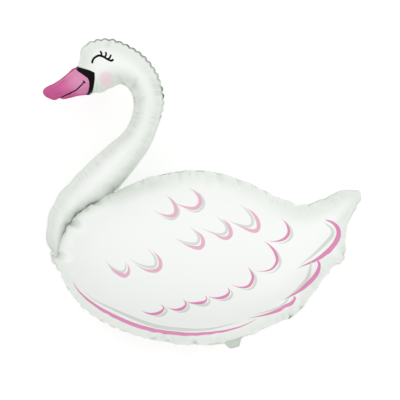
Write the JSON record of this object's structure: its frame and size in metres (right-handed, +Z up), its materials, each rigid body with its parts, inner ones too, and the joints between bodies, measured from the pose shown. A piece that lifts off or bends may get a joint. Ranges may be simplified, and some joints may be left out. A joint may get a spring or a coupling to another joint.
{
  "type": "swan foil balloon",
  "caption": "Inflated foil balloon in the shape of a resting swan with a curved neck, made to be tied by the filling tab under its belly.",
  "frame": {"origin": "centre of the bounding box, on the surface that the balloon lies on", "axes": "+X from the beak to the tail, +Y from the belly to the top of the head, +Z up, square to the heat-sealed seam"},
  "size_m": [0.7978, 0.7776, 0.297],
  "materials": {
    "pearl_foil": "pearl white metallised film, soft gloss, printed with pink, grey and black"
  },
  "bodies": {
    "root": {"swan_balloon": "pearl_foil"}
  },
  "joints": []
}
